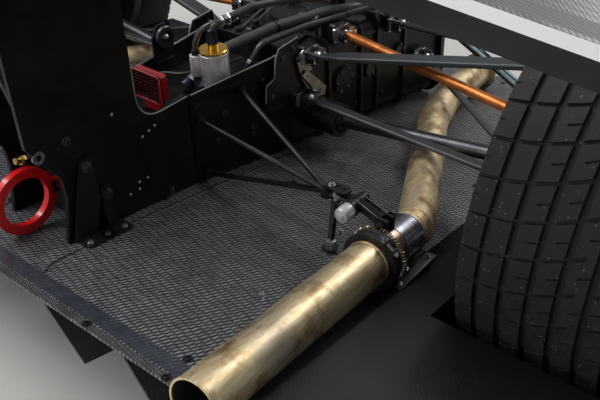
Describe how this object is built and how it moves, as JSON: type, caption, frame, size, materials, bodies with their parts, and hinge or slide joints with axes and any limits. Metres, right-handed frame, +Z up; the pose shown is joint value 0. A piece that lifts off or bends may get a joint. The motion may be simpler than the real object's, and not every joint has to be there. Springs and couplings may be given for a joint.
{
  "type": "rear-end module of a sports prototype race car",
  "caption": "Complete rear end of a closed-wheel prototype race car: gearbox, crash structure, suspension, wheels, exhausts, floor, diffuser and wing.",
  "frame": {"origin": "centre of the bellhousing's engine face, on the crank line, 300 mm above the ground", "axes": "+X to the car's right along the axle, +Y forwards to the engine, +Z up"},
  "size_m": [1.901, 1.3997, 0.9579],
  "materials": {
    "case": "black coated casting, satin",
    "steel": "satin",
    "alloy": "machined, satin",
    "carbon": "satin lacquered carbon weave",
    "woven_floor": "lacquered carbon weave",
    "wing": "lacquered carbon weave",
    "red_paint": "gloss",
    "lamp_red": "gloss",
    "lamp_lens": "ribbed, gloss",
    "gold": "anodised gold",
    "hose": "braided, matte",
    "tyre": "matte",
    "rim": "satin",
    "disc": "matte",
    "arm_paint": "satin dark blue-grey",
    "copper_wrap": "heat-reflecting copper foil",
    "bright_tube": "satin",
    "caliper": "satin",
    "exhaust": "straw heat tint, polished"
  },
  "bodies": {
    "chassis": {"gearbox_case": "case", "output_flanges": "steel", "pickup_brackets": "alloy", "crash_box": "carbon", "tow_ring": "red_paint", "rain_light_housing": "lamp_red", "rain_light_lens": "lamp_lens", "catch_tank": "alloy", "tank_cap": "gold", "water_hose": "hose", "vent_hose": "hose", "tank_hose": "hose", "floor_panel": "woven_floor", "diffuser_strakes": "carbon", "side_panel_right": "carbon", "side_panel_left": "carbon", "uprights": "alloy", "upper_wishbones": "arm_paint", "lower_rear_links": "arm_paint", "lower_front_links": "arm_paint", "toe_links": "copper_wrap", "pushrods": "bright_tube", "rockers": "alloy", "brake_calipers": "caliper", "exhaust_pipes": "exhaust", "tail_pipes": "exhaust", "band_clamps": "steel", "exhaust_hangers": "steel", "exhaust_struts": "steel", "wing_main": "wing", "wing_flap": "wing", "wing_endplates": "wing", "wing_pylons": "carbon", "pylon_brace": "steel"},
    "wheel_right": {"tyre_right": "tyre", "rim_right": "rim", "hub_right": "steel", "brake_disc_right": "disc"},
    "shaft_right": {"half_shaft_right": "steel"},
    "wheel_left": {"tyre_left": "tyre", "rim_left": "rim", "hub_left": "steel", "brake_disc_left": "disc"},
    "shaft_left": {"half_shaft_left": "steel"}
  },
  "joints": [
    {"name": "wheel_right_spin", "type": "hinge", "parent": "chassis", "child": "wheel_right", "pos_m": [0.795, -0.42, 0.055], "axis": [1, 0, 0], "continuous": true},
    {"name": "shaft_right_spin", "type": "hinge", "parent": "chassis", "child": "shaft_right", "pos_m": [0.172, -0.415, -0.016], "axis": [0.9897, -0.0101, 0.1428], "continuous": true},
    {"name": "wheel_left_spin", "type": "hinge", "parent": "chassis", "child": "wheel_left", "pos_m": [-0.795, -0.42, 0.055], "axis": [-1, 0, 0], "continuous": true},
    {"name": "shaft_left_spin", "type": "hinge", "parent": "chassis", "child": "shaft_left", "pos_m": [-0.172, -0.415, -0.016], "axis": [-0.9897, -0.0101, 0.1428], "continuous": true}
  ],
  "couplings": [
    {"joint": "shaft_right_spin", "follows": "wheel_right_spin", "ratio": 1},
    {"joint": "shaft_left_spin", "follows": "wheel_left_spin", "ratio": 1}
  ]
}
